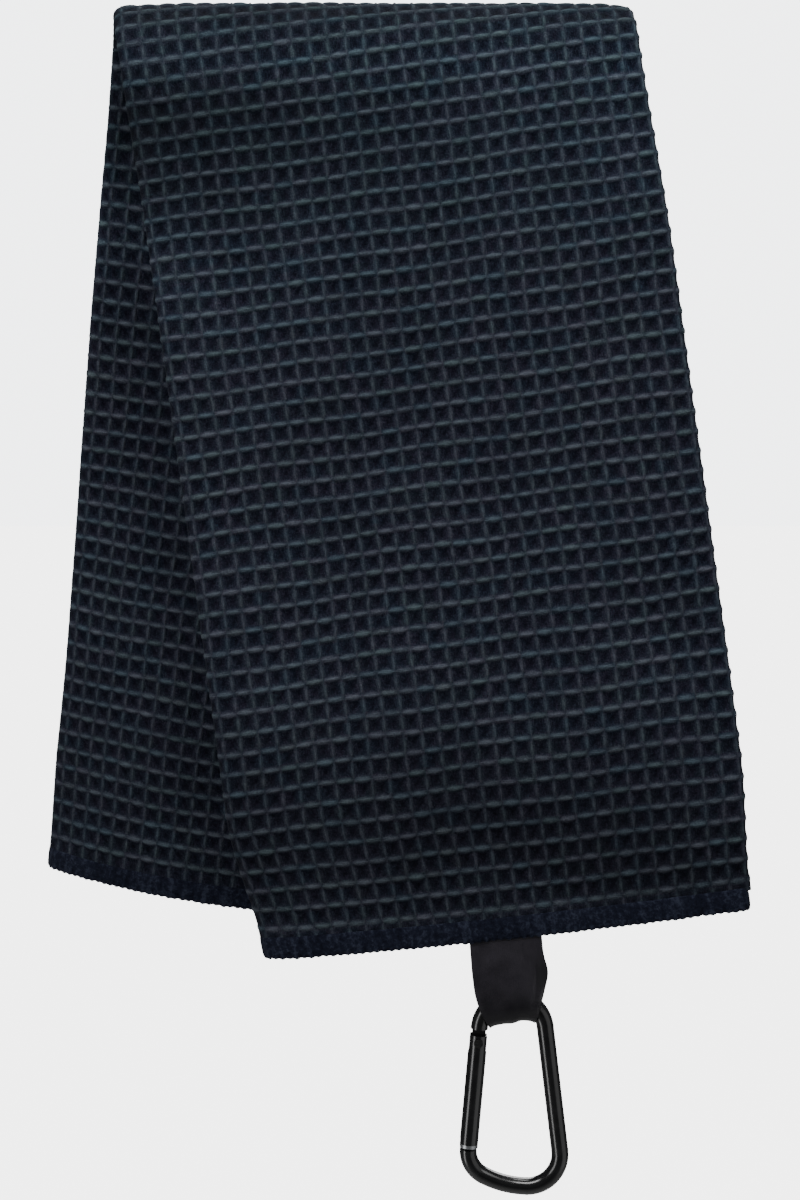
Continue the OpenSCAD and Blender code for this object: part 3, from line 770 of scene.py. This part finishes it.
def ribbon():
    """A flat ribbon with two faces, sewn in at both ends and bunched round the clip's rod."""
    across, along = 61, 170
    t = np.linspace(0.0, 1.0, along)
    line = ribbon_line(t)
    step = np.gradient(line, axis=0)
    step /= np.linalg.norm(step, axis=1)[:, None]
    normal = np.stack([step[:, 1], -step[:, 0]], axis=-1)
    if normal[0, 0] > 0:
        normal = -normal
    g = np.linspace(-1.0, 1.0, across)[None, :]
    bunch = np.exp(-((t - 0.5) / 0.122) ** 2)[:, None]
    half = RIBBON_W / 2 * (1 - 0.37 * bunch)
    bend = np.exp(-((t - 0.255) / 0.060) ** 2)[:, None]
    up = np.clip(line[:, 1] / RIBBON_RISE, 0, 1)[:, None]
    # The right edge is pushed outwards and folds back over itself above the clip.
    right = np.clip((g - 0.45) / 0.55, 0, 1)
    x = g * half + 1.3 * up + 1.0 * bend * right ** 2 - 0.5 * bunch * (g > 0) * g
    crease = -0.55 * np.exp(-((g - 0.62 - 0.12 * up) / 0.09) ** 2) * bend ** 0.5
    turn_back = -2.4 * np.clip((g - 0.70) / 0.30, 0, 1) ** 1.5 * bend ** 0.6
    # Bunched round the rod with slack, so that the clip can swing in it, and flared at its edges.
    gather = bunch * (0.45 + 0.20 * np.cos(g * 4.2 + 0.7) + 0.07 * np.cos(g * 9.5))
    gather = gather + 0.12 * np.cos(g * 2.6 + 0.4) * (1 - bunch)
    gather = gather + 0.9 * g ** 4 * np.exp(-((t - 0.5) / 0.15) ** 4)[:, None]
    faces, cells = [], []
    for sign in (1, -1):
        off = sign * RIBBON_T * 0.4 + gather + crease + turn_back
        y = line[:, 0][:, None] + normal[:, 0][:, None] * off
        z = line[:, 1][:, None] + normal[:, 1][:, None] * off
        turned = np.stack([x * math.cos(SKEW) - z * math.sin(SKEW), y,
                           x * math.sin(SKEW) + z * math.cos(SKEW)], axis=-1)
        faces.append((turned + LOOP[None, None, :]) * MM)
        cells.append(np.stack([g * 0.5 + 0 * x, t[:, None] * 4 + 0 * x, 0 * x], axis=-1))
    ring = np.concatenate([faces[0], faces[1][:, ::-1]], axis=1)
    cell = np.concatenate([cells[0], cells[1][:, ::-1]], axis=1)
    obj = grid_mesh("satin_ribbon_loop", ring, closed_u=True)
    point_vector(obj, "cell", cell)
    # Painted shade: the satin is darkened where it bends under the rod and where its edge is turned back
    # into the crease.
    over_rod = 0.85 * np.exp(-((t - 0.5) / 0.17) ** 4)[:, None] + 0 * g
    turned_edge = 0.80 * bend ** 0.5 * smooth((g - 0.60) / 0.20)
    painted_fold_shade = np.maximum(over_rod, turned_edge)
    point_attribute(obj, "painted_fold_shade", np.concatenate([painted_fold_shade, painted_fold_shade[:, ::-1]], axis=1))
    set_material(obj, SATIN)
    return obj


ribbon_obj = ribbon()
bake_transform(ribbon_obj)
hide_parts("ribbon_loop")

# ---------------------------------------------------------------- carabiner: CAD nodes with better materials
for name, material in (("carabiner_body", ENAMEL), ("gate", GATE_ENAMEL), ("gate_rivet", DARK_STEEL),
                       ("gate_plunger", STEEL)):
    set_material(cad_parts[name], material)


# The coil is squeezed between the gate, at its foot, and the plunger.
coil = add_object("coiled_spring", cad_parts["gate_spring"].data.copy())
set_material(coil, STEEL)
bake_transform(coil)
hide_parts("gate_spring")

# ---------------------------------------------------------------- floor, light and camera
lo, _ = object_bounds()
FLOOR_DROP = 1.0
FLOOR_Z = lo.z - FLOOR_DROP
# The backdrop looks near white to the camera, and lights the object only a little.
BACKDROP, AMBIENT = 4.6, 0.14
bpy.ops.mesh.primitive_plane_add(size=40.0, location=(0.0, 0.0, FLOOR_Z))
floor = bpy.context.active_object
floor.name = "studio_floor"
floor_material = Nodes("pale_floor")
glow = floor_material.tree.nodes.new("ShaderNodeLightPath").outputs["Is Camera Ray"]
floor_material.set(Base_Color=(0.60, 0.60, 0.60, 1.0), Roughness=0.9, Specular_IOR_Level=0.0,
                   Emission_Color=(1.0, 1.0, 1.0, 1.0),
                   Emission_Strength=floor_material.math("MULTIPLY", glow, BACKDROP))
set_material(floor, floor_material.material)

world = bpy.data.worlds.new("studio")
bpy.context.scene.world = world
world.use_nodes = True
world_nodes = world.node_tree.nodes
world_nodes["Background"].inputs["Color"].default_value = (0.96, 0.98, 1.0, 1.0)
seen = world_nodes.new("ShaderNodeLightPath")
strength = world_nodes.new("ShaderNodeMapRange")
strength.inputs["To Min"].default_value = AMBIENT
strength.inputs["To Max"].default_value = BACKDROP
world.node_tree.links.new(seen.outputs["Is Camera Ray"], strength.inputs["Value"])
world.node_tree.links.new(strength.outputs["Result"], world_nodes["Background"].inputs["Strength"])


def area_light(name, place, target, size, power):
    data = bpy.data.lights.new(name, "AREA")
    data.shape = "RECTANGLE"
    data.size, data.size_y = size
    data.energy = power
    aim(add_object(name, data), place, Vector(target) - Vector(place))


CENTRE = (0.02, 0.0, -0.14)
area_light("key", (-0.12, -0.60, 0.80), CENTRE, (1.0, 0.30), 14.3)
area_light("left_strip", (-0.93, -0.70, -0.50), (0.0, 0.0, -0.50), (0.34, 1.3), 6.8)
area_light("right_panel", (1.00, -0.62, -0.50), (0.0, 0.0, -0.50), (1.10, 1.3), 3.2)
area_light("clip_glint", (0.75, -0.55, 0.50), (0.04, 0.0, -0.29), (0.55, 0.50), 2.6)
area_light("top", (0.05, 0.25, 1.0), (0.0, 0.0, 0.0), (0.7, 0.4), 7.0)
area_light("back", (0.25, 1.0, 0.45), CENTRE, (0.9, 0.6), 16.0)

FOCAL_PX, FRAME_PX = 2190.0, 1200.0
SENSOR = 36.0
PITCH = math.radians(3.725)
CAMERA_PLACE = (0.00706, -0.58927, -0.09155)
camera_data = bpy.data.cameras.new("camera")
camera_data.sensor_fit = "VERTICAL"
camera_data.sensor_width = SENSOR
camera_data.sensor_height = SENSOR
camera_data.lens = FOCAL_PX / FRAME_PX * SENSOR
camera_data.shift_y = -0.05
camera_data.clip_start = 0.01
camera = add_object("camera", camera_data)
aim(camera, CAMERA_PLACE, Vector((0.0, math.cos(PITCH), -math.sin(PITCH))))
bpy.context.scene.camera = camera

bpy.context.view_layer.update()
